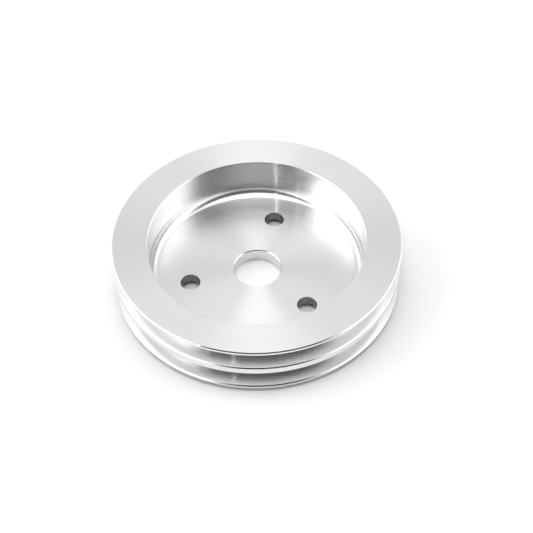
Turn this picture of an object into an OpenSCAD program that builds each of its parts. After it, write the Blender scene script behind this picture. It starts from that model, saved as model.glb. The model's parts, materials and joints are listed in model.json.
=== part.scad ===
// Two-groove V-belt crankshaft pulley, turned from one billet of aluminium.
// The back mounting face is the plane Z = 0, the axis of the bore is Z, and the
// dished front faces +Z. The first bolt hole is on +Y.

/* [Rim] */
// Outside diameter over the flanges
outer_d = 152.4; // [142:0.2:180]
// Height of the rim, from the back face to the front face
body_h = 29; // [28:0.1:36]
// Fall of the front face from its outer edge to the mouth of the dish
face_fall = 0.7; // [0:0.1:1.5]
// Thickness of the front flange at the outside diameter
front_flange = 2; // [1.4:0.1:3]
// Width of the chamfers on the turned edges
edge_break = 0.45; // [0.2:0.05:0.5]

/* [Belt grooves] */
// Width of a groove's mouth at the outside diameter
groove_w = 10.3; // [9:0.1:11]
// Depth of a groove below the outside diameter
groove_depth = 11; // [8:0.5:12.5]
// Included angle between a groove's two walls
groove_angle = 28; // [26:1:38]
// Distance from one groove's centre to the next
groove_pitch = 14.6; // [11.8:0.1:15.4]
// Radius in the corners at the bottom of a groove
groove_root_r = 0.8; // [0.2:0.1:0.8]

/* [Dish] */
// Diameter of the dish wall
dish_d = 115; // [98:0.5:124]
// Depth of the dish floor below the outer edge of the front face
dish_depth = 23.7; // [15:0.1:25]
// Radius between the dish wall and the dish floor
dish_fillet_r = 4.8; // [1:0.1:6]

/* [Hub] */
// Diameter of the centre bore
bore_d = 25.4; // [18:0.1:34]
// Diameter of the locating boss on the back
boss_d = 42; // [36:0.5:60]
// Height of the locating boss below the back face
boss_h = 2.3; // [1:0.1:4]

/* [Bolt holes] */
// Number of bolt holes
bolt_count = 3; // [3:1:6]
// Diameter of the bolt circle
bolt_circle_d = 74; // [64:0.5:84]
// Diameter of each bolt hole
bolt_hole_d = 10.2; // [6:0.1:12]
// Width of the chamfers at both ends of a bolt hole
hole_break = 0.25; // [0.1:0.05:0.5]

/* [Hidden] */
$fn = 128;

// Overrun of every cut past the face that it opens through
over = 1;
outer_r = outer_d / 2;
dish_r = dish_d / 2;
floor_z = body_h - dish_depth;
mouth_z = body_h - face_fall;
bore_r = bore_d / 2;
boss_r = boss_d / 2;
bolt_hole_r = bolt_hole_d / 2;
first_bolt_angle = 90;

// Half of the groove angle, which is each wall's slope from square to the axis
groove_slope = groove_angle / 2;
front_groove_z = body_h - front_flange - groove_w / 2;
groove_centres = [front_groove_z, front_groove_z - groove_pitch];

// All of the 2D outlines below are half sections: X is the radius and Y is the height.

// Solid blank with its two outer edges broken and its front face falling towards the dish
module blank_outline() {
    polygon([
        [0, 0],
        [outer_r - edge_break, 0],
        [outer_r, edge_break],
        [outer_r, body_h - edge_break],
        [outer_r - edge_break, body_h],
        [dish_r, mouth_z],
        [0, mouth_z]
    ]);
}

// Locating boss under the web, rooted in the web
module boss_outline() {
    polygon([
        [0, -boss_h],
        [boss_r - edge_break, -boss_h],
        [boss_r, edge_break - boss_h],
        [boss_r, floor_z / 2],
        [0, floor_z / 2]
    ]);
}

// Centre bore with a chamfer at each end
module bore_outline() {
    mouth_r = bore_r + edge_break + over;
    polygon([
        [0, -boss_h - over],
        [mouth_r, -boss_h - over],
        [bore_r, edge_break - boss_h],
        [bore_r, floor_z - edge_break],
        [mouth_r, floor_z + over],
        [0, floor_z + over]
    ]);
}

// Dish, with a fillet at the foot of its wall and a chamfer at its rim
module dish_outline() {
    difference() {
        polygon([
            [0, floor_z],
            [dish_r, floor_z],
            [dish_r, mouth_z - edge_break],
            [dish_r + edge_break + over, mouth_z + over],
            [0, mouth_z + over]
        ]);
        difference() {
            translate([dish_r - dish_fillet_r, floor_z - over])
                square([dish_fillet_r + over, dish_fillet_r + over]);
            translate([dish_r - dish_fillet_r, floor_z + dish_fillet_r])
                circle(r = dish_fillet_r);
        }
    }
}

// One V groove centred on Y = 0, with rounded bottom corners and broken mouth edges
module groove_outline() {
    root_x = outer_r - groove_depth;
    root_half_w = groove_w / 2 - groove_depth * tan(groove_slope);
    round_x = root_x + groove_root_r;
    round_y = root_half_w - groove_root_r * (1 - sin(groove_slope)) / cos(groove_slope);
    wall_foot = [round_x - groove_root_r * sin(groove_slope), round_y + groove_root_r * cos(groove_slope)];
    wall_top = [outer_r - edge_break * cos(groove_slope), groove_w / 2 - edge_break * sin(groove_slope)];
    land_edge = [outer_r, groove_w / 2 + edge_break];
    mouth = land_edge + (land_edge - wall_top) * over / edge_break;
    upper_half = [[root_x, round_y], wall_foot, wall_top, mouth];
    lower_half = [for (i = [3:-1:0]) [upper_half[i].x, -upper_half[i].y]];
    polygon(concat(upper_half, lower_half));
    for (side = [-1, 1])
        translate([round_x, side * round_y])
            circle(r = groove_root_r);
}

module half_section() {
    difference() {
        union() {
            blank_outline();
            boss_outline();
        }
        bore_outline();
        dish_outline();
        for (z = groove_centres)
            translate([0, z])
                groove_outline();
    }
}

// One bolt hole through the web, with a chamfer at each end
module bolt_hole() {
    cone_r = bolt_hole_r + hole_break + over;
    translate([0, 0, -over])
        cylinder(h = floor_z + 2 * over, r = bolt_hole_r);
    translate([0, 0, floor_z - hole_break])
        cylinder(h = hole_break + over, r1 = bolt_hole_r, r2 = cone_r);
    translate([0, 0, -over])
        cylinder(h = hole_break + over, r1 = cone_r, r2 = bolt_hole_r);
}

module pulley() {
    color("silver")
        difference() {
            rotate_extrude()
                half_section();
            for (i = [0:bolt_count - 1])
                rotate(first_bolt_angle + i * 360 / bolt_count)
                    translate([bolt_circle_d / 2, 0, 0])
                        bolt_hole();
        }
}

pulley();
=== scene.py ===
"""Two-groove V-belt crankshaft pulley, turned from one billet of bright aluminium, on a white table.

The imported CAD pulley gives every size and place. One finely divided lathe mesh stands for it, and carries the
exact normals of its turned outline, so that the light tent's reflections run cleanly over it.
"""

import json
import math

import bmesh
import bpy
from mathutils import Matrix, Vector


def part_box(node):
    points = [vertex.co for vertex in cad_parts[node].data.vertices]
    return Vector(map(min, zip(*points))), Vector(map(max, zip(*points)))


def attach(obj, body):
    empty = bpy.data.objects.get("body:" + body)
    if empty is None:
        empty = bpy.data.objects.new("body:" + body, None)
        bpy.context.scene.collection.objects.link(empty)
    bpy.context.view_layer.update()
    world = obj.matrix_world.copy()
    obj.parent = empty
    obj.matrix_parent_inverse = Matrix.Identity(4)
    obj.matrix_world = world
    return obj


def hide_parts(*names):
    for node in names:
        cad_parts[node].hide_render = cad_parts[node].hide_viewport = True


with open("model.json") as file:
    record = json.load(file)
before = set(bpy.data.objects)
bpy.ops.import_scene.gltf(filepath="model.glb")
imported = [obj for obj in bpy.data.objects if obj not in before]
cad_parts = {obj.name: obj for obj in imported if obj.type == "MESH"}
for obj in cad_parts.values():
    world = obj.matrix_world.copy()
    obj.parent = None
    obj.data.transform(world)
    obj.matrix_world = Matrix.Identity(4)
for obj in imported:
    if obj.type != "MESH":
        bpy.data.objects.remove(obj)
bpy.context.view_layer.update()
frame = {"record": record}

# ---------------------------------------------------------------- sizes, in metres
MM = 0.001
lowest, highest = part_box("pulley")
mounts = {mount["name"]: mount for mount in frame["record"]["mounts"]}

OUTER_R = highest.x
FRONT_Z = highest.z
BOSS_Z = lowest.z
BORE_R = mounts["centre_bore"]["dims"]["r_mm"] * MM
BOLT_CIRCLE_R = mounts["bolt_circle"]["dims"]["pcd_mm"] * MM / 2
BOLT_HOLE_R = mounts["bolt_circle"]["dims"]["hole_r_mm"] * MM
BOLT_COUNT = mounts["bolt_circle"]["dims"]["count"]
FIRST_BOLT_ANGLE = math.pi / 2
GROOVES_Z = [mounts[name]["pos_m"][2] for name in ("rear_belt_groove", "front_belt_groove")]

# The record doesn't hold these, so they repeat the part's own dimensions.
BACK_Z = 0.0
FLOOR_Z = FRONT_Z - 23.7 * MM
MOUTH_Z = FRONT_Z - 0.7 * MM
DISH_R = 57.5 * MM
FILLET_R = 4.8 * MM
BOSS_R = 21.0 * MM
EDGE = 0.45 * MM
HOLE_EDGE = 0.25 * MM
GROOVE_HALF_W = 5.15 * MM
GROOVE_DEPTH = 11.0 * MM
GROOVE_SLOPE = math.radians(14)
GROOVE_ROOT_R = 0.8 * MM

TURNS = 512
HOLE_TURNS = 96
FACED, FLOORED, BORED, GROOVED, DRILLED = range(5)
FILLET_STEPS = 24
ROOT_STEPS = 6

# ---------------------------------------------------------------- camera and light
# The tent's levels are brightnesses. Its azimuths start towards the camera and grow to the camera's right.
CAMERA_AZIMUTH = math.radians(15.97)
CAMERA_ELEVATION = math.radians(47.364)
CAMERA_DISTANCE = 650.7 * MM
CAMERA_ROLL = math.radians(-0.938)
CAMERA_LENS = 83.61
LOOK_AT = Vector((6.73, -5.69, 14.5)) * MM

LEFT_LEVEL = 2.2
RIGHT_LEVEL = 1.6
SIDE_BLEND = 0.6
LOW_MIDDLE = math.radians(32)
LOW_REACH = math.radians(9)
LOW_BLUR = math.radians(3)
LOW_GAIN = 1.25
FAR_LEVEL = 0.97
FAR_HALF = math.radians(50)
FAR_BLUR = math.radians(20)
BAND_LEVEL = 0.79
BAND_ELEVATION = math.radians(47)
BAND_HALF = math.radians(3.5)
BAND_BLUR = math.radians(3.5)
TOP_LEVEL = 5.5
TOP_RADIUS = math.radians(15)
TOP_BLUR = math.radians(7)
OPENING_LEVEL = 0.02
OPENING_LEFT = math.radians(-58)
OPENING_LEFT_BLUR = math.radians(14)
OPENING_RIGHT = math.radians(70)
OPENING_RIGHT_BLUR = math.radians(18)
OPENING_MIDDLE = math.radians(40)
OPENING_FLARE = 1.3
OPENING_TOP = math.radians(64.5)
OPENING_BLUR = math.radians(10)
SLIT_TURN = math.radians(10.5)
SLIT_OFFSET = 0.143
SLIT_HALF = 0.0045
SLIT_MIDDLE = math.radians(54)
SLIT_REACH = math.radians(10)
SLIT_BLUR = math.radians(1.5)
SLIT_LEVEL = 7.0
SEAM_AZIMUTH = math.radians(-42.5)
SEAM_HALF = math.radians(1.2)
SEAM_MIDDLE = math.radians(31.5)
SEAM_REACH = math.radians(3)
SEAM_BLUR = math.radians(1)
SEAM_LEVEL = 3.5

# ---------------------------------------------------------------- finish and table
TURNED_TONE = 0.80
FACE_ROUGHNESS = 0.19
FLOOR_ROUGHNESS = 0.20
WALL_ROUGHNESS = 0.18
GROOVE_ROUGHNESS = 0.12
FINE_MARK_PITCH = 0.35 * MM
FINE_MARK_DETAIL = 3.0
BROAD_MARK_PITCH = 4.0 * MM
BROAD_MARK_DETAIL = 2.0
MARK_ROUGHNESS = 0.6
MARK_BUMP = 0.12
MARK_DEPTH = 0.02 * MM
ROUGHNESS_SPREAD = 0.04
TONE_SPREAD = 0.05
ACROSS_THE_MARKS = 0.25
# Painted shade: the bolt holes' metal colour is made dark so that their walls look shaded inside.
DRILLED_PAINTED_SHADE_TONE = 0.25
DRILLED_TONE_SPREAD = 0.1
DRILLED_ROUGHNESS = 0.3
DRILLED_ROUGHNESS_SPREAD = 0.15
DRILL_MARK_PITCH = 0.5 * MM
DRILL_MARK_DETAIL = 3.0
TABLE_TONE = 0.81
TABLE_ROUGHNESS = 0.9
TABLE_HALF = 6.0


# ---------------------------------------------------------------- turned outline
# An outline is a list of strokes with the metal on its left. A stroke is a list of (radius, height, normal).
def line(a, b):
    """Straight stroke from a to b."""
    along = Vector(b) - Vector(a)
    normal = Vector((along.y, -along.x)).normalized()
    return [(*a, normal), (*b, normal)]


def joined(points):
    """Straight strokes through a list of points."""
    return [line(a, b) for a, b in zip(points, points[1:])]


def hollow_arc(centre, radius, start, end, steps):
    """Concave arc from one angle to another. Its normals point at its centre."""
    stroke = []
    for i in range(steps + 1):
        angle = start + (end - start) * i / steps
        ray = Vector((math.cos(angle), math.sin(angle)))
        point = Vector(centre) + ray * radius
        stroke.append((*point, -ray))
    return stroke


def groove_strokes(centre_z):
    """One V groove, from its rear mouth edge to its front mouth edge, with rounded bottom corners."""
    root_x = OUTER_R - GROOVE_DEPTH
    root_half_w = GROOVE_HALF_W - GROOVE_DEPTH * math.tan(GROOVE_SLOPE)
    wall_angle = math.pi / 2 + GROOVE_SLOPE
    round_x = root_x + GROOVE_ROOT_R
    round_y = root_half_w - GROOVE_ROOT_R * math.tan((math.pi - wall_angle) / 2)
    foot = Vector((round_x, round_y)) + GROOVE_ROOT_R * Vector((math.cos(wall_angle), math.sin(wall_angle)))
    top = Vector((OUTER_R - EDGE * math.cos(GROOVE_SLOPE), GROOVE_HALF_W - EDGE * math.sin(GROOVE_SLOPE)))
    mouth = Vector((OUTER_R, GROOVE_HALF_W + EDGE))
    rear_wall = [(p.x, centre_z - p.y) for p in (mouth, top, foot)]
    front_wall = [(p.x, centre_z + p.y) for p in (foot, top, mouth)]
    rear_centre = (round_x, centre_z - round_y)
    front_centre = (round_x, centre_z + round_y)
    return [
        *joined(rear_wall),
        hollow_arc(rear_centre, GROOVE_ROOT_R, -wall_angle, -math.pi, ROOT_STEPS),
        line((root_x, centre_z - round_y), (root_x, centre_z + round_y)),
        hollow_arc(front_centre, GROOVE_ROOT_R, math.pi, wall_angle, ROOT_STEPS),
        *joined(front_wall),
    ]


def rim_strokes():
    """The outside, from the back face's edge up over the grooves to the front face's outer edge."""
    strokes = joined([(OUTER_R - EDGE, BACK_Z), (OUTER_R, BACK_Z + EDGE)])
    for centre_z in GROOVES_Z:
        groove = groove_strokes(centre_z)
        strokes.append(line(strokes[-1][-1][:2], groove[0][0][:2]))
        strokes += groove
    strokes += joined([
        strokes[-1][-1][:2],
        (OUTER_R, FRONT_Z - EDGE),
        (OUTER_R - EDGE, FRONT_Z),
    ])
    return strokes


def dish_edge():
    """Where the front face meets the chamfer at the mouth of the dish."""
    face_slope = (FRONT_Z - MOUTH_Z) / (OUTER_R - EDGE - DISH_R)
    edge_w = EDGE / (1 - face_slope)
    return DISH_R + edge_w, MOUTH_Z + edge_w * face_slope


def face_strokes():
    """The front face, which falls a little towards the dish."""
    return joined([(OUTER_R - EDGE, FRONT_Z), dish_edge()])


def dish_strokes():
    """The dish, from its mouth down the wall and the fillet to its floor."""
    strokes = joined([dish_edge(), (DISH_R, MOUTH_Z - EDGE), (DISH_R, FLOOR_Z + FILLET_R)])
    fillet_centre = (DISH_R - FILLET_R, FLOOR_Z + FILLET_R)
    strokes.append(hollow_arc(fillet_centre, FILLET_R, 0, -math.pi / 2, FILLET_STEPS))
    return strokes


def hub_strokes():
    """The bore and the boss, from the dish floor down through the bore to the back face."""
    return joined([
        (BORE_R + EDGE, FLOOR_Z),
        (BORE_R, FLOOR_Z - EDGE),
        (BORE_R, BOSS_Z + EDGE),
        (BORE_R + EDGE, BOSS_Z),
        (BOSS_R - EDGE, BOSS_Z),
        (BOSS_R, BOSS_Z + EDGE),
        (BOSS_R, BACK_Z),
    ])


def bolt_hole_strokes():
    """One bolt hole, from the dish floor down to the back face."""
    return joined([
        (BOLT_HOLE_R + HOLE_EDGE, FLOOR_Z),
        (BOLT_HOLE_R, FLOOR_Z - HOLE_EDGE),
        (BOLT_HOLE_R, BACK_Z + HOLE_EDGE),
        (BOLT_HOLE_R + HOLE_EDGE, BACK_Z),
    ])


# ---------------------------------------------------------------- mesh
def turn(bm, strokes, centre, turns, material, first_ring=None):
    """Turns the strokes about a vertical axis, from first_ring if it's given. Returns the two end rings."""
    normals = bm.loops.layers.float_vector["turned_normal"]
    angles = [2 * math.pi * k / turns for k in range(turns)]
    rings = {}

    def key_of(radius, height):
        return round(radius / MM, 5), round(height / MM, 5)

    def ring(radius, height):
        key = key_of(radius, height)
        if key not in rings:
            rings[key] = [
                bm.verts.new((centre[0] + radius * math.cos(a), centre[1] + radius * math.sin(a), height))
                for a in angles
            ]
        return rings[key]

    if first_ring:
        rings[key_of(*strokes[0][0][:2])] = first_ring
    for stroke in strokes:
        for (r0, z0, n0), (r1, z1, n1) in zip(stroke, stroke[1:]):
            low, high = ring(r0, z0), ring(r1, z1)
            for k in range(turns):
                j = (k + 1) % turns
                face = bm.faces.new((low[k], low[j], high[j], high[k]))
                face.material_index = material
                for loop, normal, a in zip(face.loops, (n0, n0, n1, n1), (k, j, j, k)):
                    angle = angles[a]
                    loop[normals] = (normal[0] * math.cos(angle), normal[0] * math.sin(angle), normal[1])
    return ring(*strokes[0][0][:2]), ring(*strokes[-1][-1][:2])


def fill_flat(bm, rings, facing):
    """Fills the flat face between an outer ring and the rings of the holes in it."""
    normals = bm.loops.layers.float_vector["turned_normal"]
    edges = [bm.edges.get((ring[k - 1], ring[k])) for ring in rings for k in range(len(ring))]
    filled = bmesh.ops.triangle_fill(bm, edges=edges, use_beauty=True, normal=(0, 0, facing))
    for face in filled["geom"]:
        if not isinstance(face, bmesh.types.BMFace):
            continue
        face.normal_update()
        if face.normal.z * facing < 0:
            face.normal_flip()
        face.material_index = FLOORED
        for loop in face.loops:
            loop[normals] = (0, 0, facing)


def pulley_mesh():
    """The whole pulley as one closed mesh with the exact normals of its outline."""
    bm = bmesh.new()
    bm.loops.layers.float_vector.new("turned_normal")
    back_outer, front_outer = turn(bm, rim_strokes(), (0, 0), TURNS, GROOVED)
    front_inner = turn(bm, face_strokes(), (0, 0), TURNS, FACED, front_outer)[1]
    floor_outer = turn(bm, dish_strokes(), (0, 0), TURNS, BORED, front_inner)[1]
    floor_inner, back_inner = turn(bm, hub_strokes(), (0, 0), TURNS, BORED)
    floor_rings, back_rings = [floor_outer, floor_inner], [back_outer, back_inner]
    for i in range(BOLT_COUNT):
        angle = FIRST_BOLT_ANGLE + 2 * math.pi * i / BOLT_COUNT
        centre = (BOLT_CIRCLE_R * math.cos(angle), BOLT_CIRCLE_R * math.sin(angle))
        floor_ring, back_ring = turn(bm, bolt_hole_strokes(), centre, HOLE_TURNS, DRILLED)
        floor_rings.append(floor_ring)
        back_rings.append(back_ring)
    fill_flat(bm, floor_rings, 1)
    fill_flat(bm, back_rings, -1)

    mesh = bpy.data.meshes.new("turned_pulley")
    bm.to_mesh(mesh)
    bm.free()
    stored = mesh.attributes["turned_normal"]
    corner_normals = [corner.vector.copy() for corner in stored.data]
    mesh.attributes.remove(stored)
    mesh.shade_smooth()
    mesh.normals_split_custom_set(corner_normals)
    return mesh


# ---------------------------------------------------------------- node helpers
def add_node(tree, kind, inputs=None, **settings):
    """Adds a node. inputs maps a socket's name or number to a value or to the socket that feeds it."""
    node = tree.nodes.new(kind)
    for name, value in settings.items():
        setattr(node, name, value)
    for name, value in (inputs or {}).items():
        if isinstance(value, bpy.types.NodeSocket):
            tree.links.new(value, node.inputs[name])
        else:
            node.inputs[name].default_value = value
    return node


def calc(tree, operation, *values):
    """A Math node's result."""
    return add_node(tree, "ShaderNodeMath", dict(enumerate(values)), operation=operation).outputs[0]


def ramp(tree, value, start, end, low=0.0, high=1.0):
    """Smooth step of a value between start and end, going from low to high."""
    inputs = {"Value": value, "From Min": start, "From Max": end, "To Min": low, "To Max": high}
    return add_node(tree, "ShaderNodeMapRange", inputs, interpolation_type="SMOOTHSTEP").outputs["Result"]


def around(tree, value, centre, half, blur):
    """1 where a value is within half of the centre and 0 outside, with an edge that is soft over the blur."""
    off = calc(tree, "ABSOLUTE", calc(tree, "SUBTRACT", value, centre))
    if blur == 0:
        return calc(tree, "LESS_THAN", off, half)
    return ramp(tree, off, half - blur, half + blur, 1.0, 0.0)


def blend_values(tree, factor, low, high):
    """low where the factor is 0 and high where it is 1."""
    return calc(tree, "MULTIPLY_ADD", factor, calc(tree, "SUBTRACT", high, low), low)


def new_material(name):
    material = bpy.data.materials.new(name)
    material.use_nodes = True
    material.node_tree.nodes.clear()
    return material, material.node_tree


# ---------------------------------------------------------------- finishes
def turned_aluminium(name, base_roughness):
    """Bright lathe-turned aluminium. Its marks run round the axis, so it is rough across and smooth along."""
    material, tree = new_material(name)
    place = add_node(tree, "ShaderNodeTexCoord").outputs["Object"]
    parts = add_node(tree, "ShaderNodeSeparateXYZ", {0: place})
    x, y, z = parts.outputs
    radius = calc(tree, "SQRT", calc(tree, "ADD", calc(tree, "MULTIPLY", x, x), calc(tree, "MULTIPLY", y, y)))
    section = add_node(tree, "ShaderNodeCombineXYZ", {0: radius, 1: z}).outputs[0]

    def marks(pitch, detail):
        inputs = {"Vector": section, "Scale": 1 / pitch, "Detail": detail, "Roughness": MARK_ROUGHNESS}
        return add_node(tree, "ShaderNodeTexNoise", inputs, noise_dimensions="2D").outputs["Fac"]

    fine = marks(FINE_MARK_PITCH, FINE_MARK_DETAIL)
    broad = marks(BROAD_MARK_PITCH, BROAD_MARK_DETAIL)
    roughness = calc(tree, "MULTIPLY_ADD", fine, ROUGHNESS_SPREAD, base_roughness - ROUGHNESS_SPREAD)
    roughness = calc(tree, "MULTIPLY_ADD", broad, ROUGHNESS_SPREAD, roughness)
    tone = calc(tree, "MULTIPLY_ADD", fine, TONE_SPREAD, TURNED_TONE - TONE_SPREAD / 2)
    colour = add_node(tree, "ShaderNodeCombineColor", {0: tone, 1: tone, 2: tone}).outputs[0]
    bump = add_node(tree, "ShaderNodeBump", {"Strength": MARK_BUMP, "Distance": MARK_DEPTH, "Height": fine})
    tangent = add_node(tree, "ShaderNodeTangent", direction_type="RADIAL", axis="Z")
    surface = add_node(tree, "ShaderNodeBsdfPrincipled", {
        "Base Color": colour,
        "Metallic": 1.0,
        "Roughness": roughness,
        "Anisotropic": 1.0,
        "Anisotropic Rotation": ACROSS_THE_MARKS,
        "Normal": bump.outputs[0],
        "Tangent": tangent.outputs[0],
    })
    add_node(tree, "ShaderNodeOutputMaterial", {"Surface": surface.outputs[0]})
    return material


def drilled_aluminium_painted_shade():
    """The bolt holes' walls: metal with the drill's own marks, whose colour is made dark as painted shade
    inside the holes.
    """
    material, tree = new_material("drilled_aluminium_painted_shade")
    place = add_node(tree, "ShaderNodeTexCoord").outputs["Object"]
    inputs = {"Vector": place, "Scale": 1 / DRILL_MARK_PITCH, "Detail": DRILL_MARK_DETAIL}
    grain = add_node(tree, "ShaderNodeTexNoise", inputs).outputs["Fac"]
    # The dark tone is painted shade inside the holes. The grain adds the drill's marks.
    tone = calc(tree, "MULTIPLY_ADD", grain, DRILLED_TONE_SPREAD, DRILLED_PAINTED_SHADE_TONE - DRILLED_TONE_SPREAD / 2)
    colour = add_node(tree, "ShaderNodeCombineColor", {0: tone, 1: tone, 2: tone}).outputs[0]
    surface = add_node(tree, "ShaderNodeBsdfPrincipled", {
        "Base Color": colour,
        "Metallic": 1.0,
        "Roughness": calc(tree, "MULTIPLY_ADD", grain, DRILLED_ROUGHNESS_SPREAD, DRILLED_ROUGHNESS),
    })
    add_node(tree, "ShaderNodeOutputMaterial", {"Surface": surface.outputs[0]})
    return material


def table_white():
    material, tree = new_material("table_white")
    surface = add_node(tree, "ShaderNodeBsdfPrincipled", {
        "Base Color": (TABLE_TONE, TABLE_TONE, TABLE_TONE, 1),
        "Roughness": TABLE_ROUGHNESS,
        "Specular IOR Level": 0.0,
    })
    add_node(tree, "ShaderNodeOutputMaterial", {"Surface": surface.outputs[0]})
    return material


# ---------------------------------------------------------------- studio
def light_tent():
    """A white tent with a bright top. Towards the camera it is open and dark, but for a slit and a seam."""
    world = bpy.data.worlds.new("light_tent")
    world.use_nodes = True
    tree = world.node_tree
    tree.nodes.clear()
    direction = add_node(tree, "ShaderNodeTexCoord").outputs["Generated"]
    turned = add_node(tree, "ShaderNodeVectorRotate", {"Vector": direction, "Angle": -CAMERA_AZIMUTH},
                      rotation_type="Z_AXIS")
    x, y, z = add_node(tree, "ShaderNodeSeparateXYZ", {0: turned.outputs[0]}).outputs
    azimuth = calc(tree, "ARCTAN2", x, calc(tree, "MULTIPLY", y, -1.0))
    elevation = calc(tree, "ARCSINE", z)

    far = around(tree, calc(tree, "ABSOLUTE", azimuth), math.pi, FAR_HALF, FAR_BLUR)
    band = around(tree, elevation, BAND_ELEVATION, BAND_HALF, BAND_BLUR)
    sides = ramp(tree, x, -SIDE_BLEND, SIDE_BLEND, LEFT_LEVEL, RIGHT_LEVEL)
    low = around(tree, elevation, LOW_MIDDLE, LOW_REACH, LOW_BLUR)
    sides = calc(tree, "MULTIPLY", sides, blend_values(tree, low, 1.0, LOW_GAIN))
    tent = blend_values(tree, far, sides, blend_values(tree, band, FAR_LEVEL, BAND_LEVEL))
    # The slit follows one vertical line of the dish wall, whose reflections all keep the same sideways part.
    across = calc(tree, "MULTIPLY", x, -math.cos(SLIT_TURN))
    sideways = calc(tree, "MULTIPLY_ADD", y, math.sin(SLIT_TURN), across)
    slit = calc(tree, "MULTIPLY", around(tree, sideways, SLIT_OFFSET, SLIT_HALF, 0.0),
                around(tree, elevation, SLIT_MIDDLE, SLIT_REACH, SLIT_BLUR))
    seam = calc(tree, "MULTIPLY", around(tree, azimuth, SEAM_AZIMUTH, SEAM_HALF, 0.0),
                around(tree, elevation, SEAM_MIDDLE, SEAM_REACH, SEAM_BLUR))
    gap = blend_values(tree, seam, blend_values(tree, slit, OPENING_LEVEL, SLIT_LEVEL), SEAM_LEVEL)
    flare = calc(tree, "MULTIPLY", calc(tree, "SUBTRACT", elevation, OPENING_MIDDLE), OPENING_FLARE)
    left = ramp(tree, calc(tree, "ADD", azimuth, flare),
                OPENING_LEFT - OPENING_LEFT_BLUR, OPENING_LEFT + OPENING_LEFT_BLUR)
    right = ramp(tree, calc(tree, "SUBTRACT", azimuth, flare),
                 OPENING_RIGHT - OPENING_RIGHT_BLUR, OPENING_RIGHT + OPENING_RIGHT_BLUR, 1.0, 0.0)
    opening = calc(tree, "MULTIPLY", calc(tree, "MULTIPLY", left, right),
                   around(tree, elevation, 0.0, OPENING_TOP, OPENING_BLUR))
    top = around(tree, elevation, math.pi / 2, TOP_RADIUS, TOP_BLUR)
    level = blend_values(tree, top, blend_values(tree, opening, tent, gap), TOP_LEVEL)
    light = add_node(tree, "ShaderNodeBackground", {"Color": (1, 1, 1, 1), "Strength": level})
    add_node(tree, "ShaderNodeOutputWorld", {"Surface": light.outputs[0]})
    bpy.context.scene.world = world


def table():
    """White table top under the boss."""
    bm = bmesh.new()
    bmesh.ops.create_grid(bm, x_segments=1, y_segments=1, size=TABLE_HALF)
    mesh = bpy.data.meshes.new("table")
    bm.to_mesh(mesh)
    bm.free()
    mesh.materials.append(table_white())
    top = bpy.data.objects.new("table", mesh)
    top.location.z = BOSS_Z
    bpy.context.scene.collection.objects.link(top)


def camera():
    """The camera stands off the middle of the front face and looks past it."""
    flat = math.cos(CAMERA_ELEVATION)
    towards = Vector((
        math.sin(CAMERA_AZIMUTH) * flat,
        -math.cos(CAMERA_AZIMUTH) * flat,
        math.sin(CAMERA_ELEVATION),
    ))
    position = Vector((0, 0, FRONT_Z)) + towards * CAMERA_DISTANCE
    aim = (LOOK_AT - position).to_track_quat("-Z", "Y").to_matrix()
    data = bpy.data.cameras.new("camera")
    data.lens = CAMERA_LENS
    rig = bpy.data.objects.new("camera", data)
    rig.matrix_world = Matrix.Translation(position) @ (aim @ Matrix.Rotation(CAMERA_ROLL, 3, "Z")).to_4x4()
    bpy.context.scene.collection.objects.link(rig)
    bpy.context.scene.camera = rig


# ---------------------------------------------------------------- scene
camera()
light_tent()
table()

# The materials come in the order of FACED, FLOORED, BORED, GROOVED and DRILLED.
pulley_data = pulley_mesh()
pulley_data.materials.append(turned_aluminium("faced_aluminium", FACE_ROUGHNESS))
pulley_data.materials.append(turned_aluminium("floor_aluminium", FLOOR_ROUGHNESS))
pulley_data.materials.append(turned_aluminium("bored_aluminium", WALL_ROUGHNESS))
pulley_data.materials.append(turned_aluminium("grooved_aluminium", GROOVE_ROUGHNESS))
pulley_data.materials.append(drilled_aluminium_painted_shade())
pulley = bpy.data.objects.new("turned_pulley", pulley_data)
bpy.context.scene.collection.objects.link(pulley)
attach(pulley, "root")
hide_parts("pulley")

bpy.context.scene.view_settings.view_transform = "Standard"
